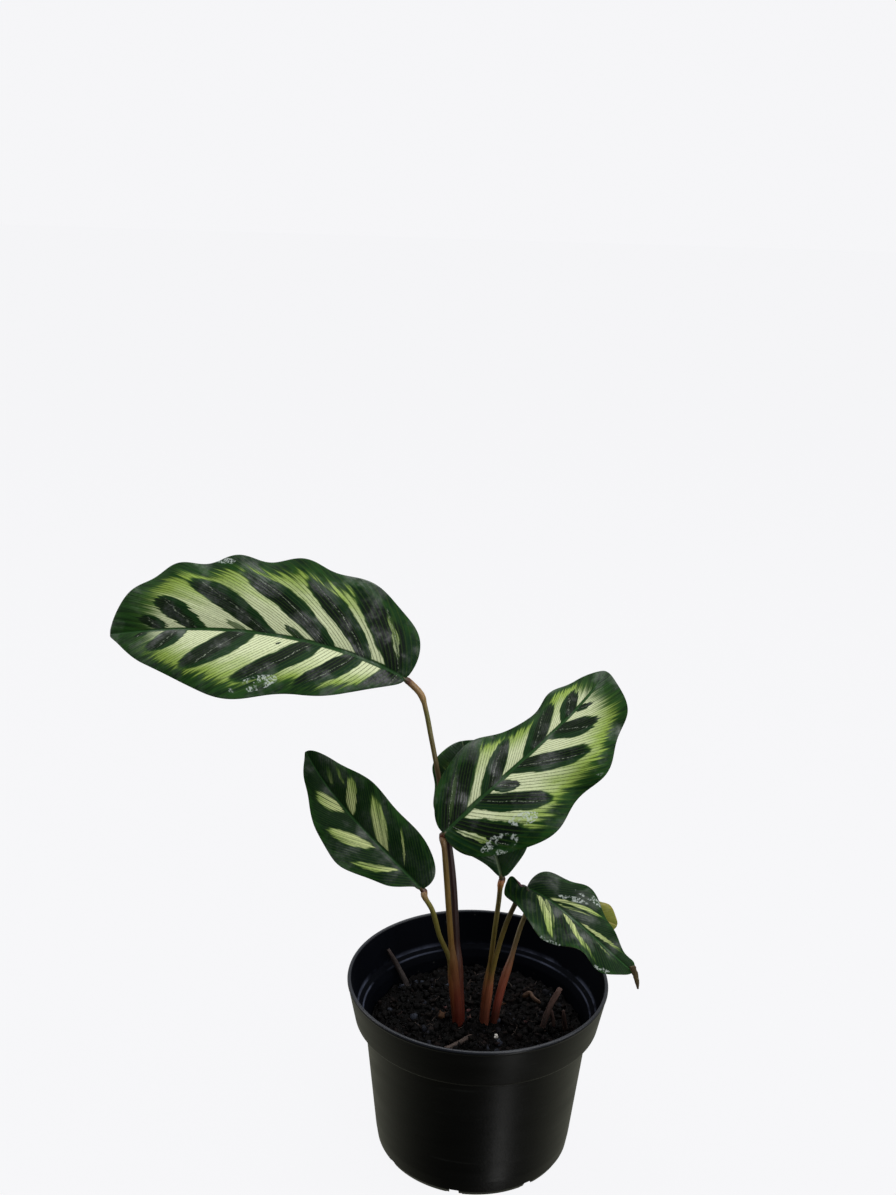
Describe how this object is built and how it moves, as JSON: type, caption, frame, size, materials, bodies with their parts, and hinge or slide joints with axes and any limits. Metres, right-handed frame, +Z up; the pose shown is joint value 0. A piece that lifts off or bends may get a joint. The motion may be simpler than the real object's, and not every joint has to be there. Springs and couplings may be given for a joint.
{
  "type": "potted peacock plant",
  "caption": "Young peacock plant with waved, patterned oval leaves on slender stalks, rooted in dark soil in a black nursery pot.",
  "frame": {"origin": "on the pot's axis, in the plane of the surface that the pot stands on, at the centre of the pot's flat base disc", "axes": "+Z up along the pot's axis; the side that the picture shows faces -Y, and the largest leaf reaches towards -X"},
  "size_m": [0.2, 0.1, 0.2268],
  "materials": {
    "pot_plastic": "thin black nursery plastic, satin gloss with soft vertical highlights",
    "potting_soil": "damp dark peat and bark mix, rough and crumbly",
    "stalks": "smooth fleshy stalk, olive brown above, reddish brown sheath at the foot, tan swollen joint",
    "patterned_leaf": "thin glossy leaf, dark green ovals and margin on pale green, purple underside",
    "aged_leaf": "thin leaf turning olive yellow",
    "dead_stalk": "dry brown stump of an old stalk, matt and fibrous",
    "bark": "tan curl of dry bark, matt",
    "perlite": "white grain of perlite, matt"
  },
  "bodies": {
    "root": {"pot": "pot_plastic", "soil": "potting_soil", "shoot_1": "stalks", "shoot_2": "stalks", "shoot_3": "stalks", "leaf_1": "patterned_leaf", "leaf_2": "patterned_leaf", "leaf_3": "patterned_leaf", "leaf_4": "patterned_leaf", "leaf_5": "patterned_leaf", "leaf_6": "aged_leaf", "old_stalk_left": "dead_stalk", "old_stalk_right": "dead_stalk", "old_stalk_small": "dead_stalk", "fallen_twig": "dead_stalk", "bark_curl": "bark", "perlite": "perlite"}
  },
  "joints": []
}
